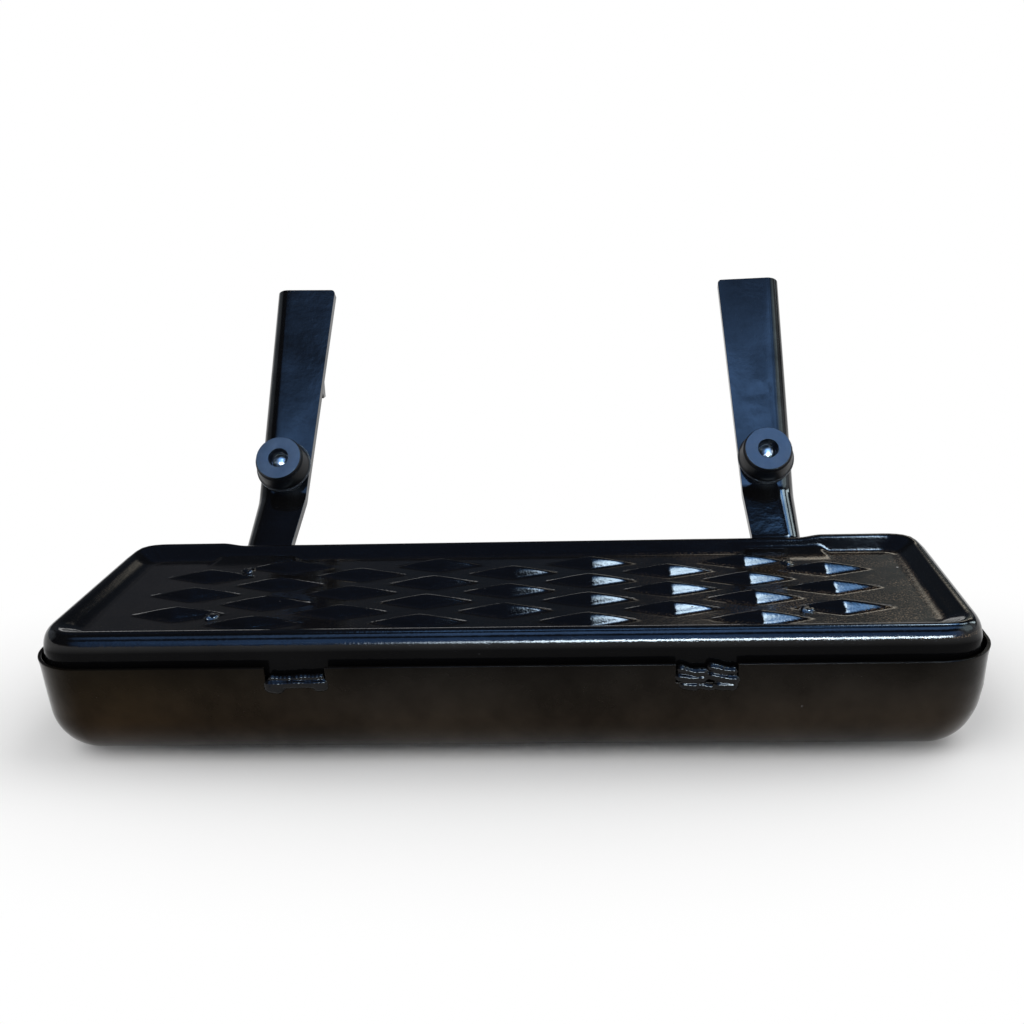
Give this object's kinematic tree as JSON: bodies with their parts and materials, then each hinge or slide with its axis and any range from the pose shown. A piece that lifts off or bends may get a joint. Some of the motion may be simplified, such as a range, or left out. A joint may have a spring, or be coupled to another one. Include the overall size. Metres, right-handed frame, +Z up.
{
  "type": "folding step",
  "caption": "Folding vehicle step: raised-diamond tread plate over a pan, two cranked arms with rubber buffers, and hinge brackets.",
  "frame": {"origin": "middle of the four bolt holes, in the plane of the hinge brackets' mounting faces", "axes": "+Z up with the step folded down for use, -Y out from the vehicle towards the user, +X along the tread"},
  "size_m": [0.388, 0.2536, 0.1666],
  "materials": {
    "gloss_black_steel": "gloss",
    "buffer_rubber": "satin",
    "bright_zinc": "satin",
    "bush_bronze": "satin"
  },
  "bodies": {
    "brackets": {"hinge_bracket_left": "gloss_black_steel", "hinge_bracket_right": "gloss_black_steel", "pivot_bush_left": "bush_bronze", "pivot_bush_right": "bush_bronze"},
    "step": {"tread_plate": "gloss_black_steel", "lower_pan": "gloss_black_steel", "front_weld_left": "gloss_black_steel", "front_weld_right": "gloss_black_steel", "rear_weld_left": "gloss_black_steel", "rear_weld_right": "gloss_black_steel", "arm_left": "gloss_black_steel", "arm_right": "gloss_black_steel", "plug_welds_left": "gloss_black_steel", "plug_welds_right": "gloss_black_steel", "buffer_left": "buffer_rubber", "buffer_right": "buffer_rubber", "buffer_screw_left": "bright_zinc", "buffer_screw_right": "bright_zinc", "buffer_washer_left": "bright_zinc", "buffer_washer_right": "bright_zinc", "buffer_nut_left": "bright_zinc", "buffer_nut_right": "bright_zinc", "pivot_pin_left": "bright_zinc", "pivot_pin_right": "bright_zinc", "pivot_spacer_left": "bright_zinc", "pivot_spacer_right": "bright_zinc", "pivot_washer_left": "bright_zinc", "pivot_washer_right": "bright_zinc", "pivot_nut_left": "bright_zinc", "pivot_nut_right": "bright_zinc"}
  },
  "joints": [
    {"name": "fold", "type": "hinge", "parent": "brackets", "child": "step", "pos_m": [0, -0.0235, 0.0285], "axis": [-1, 0, 0], "range_deg": [0, 90]}
  ]
}
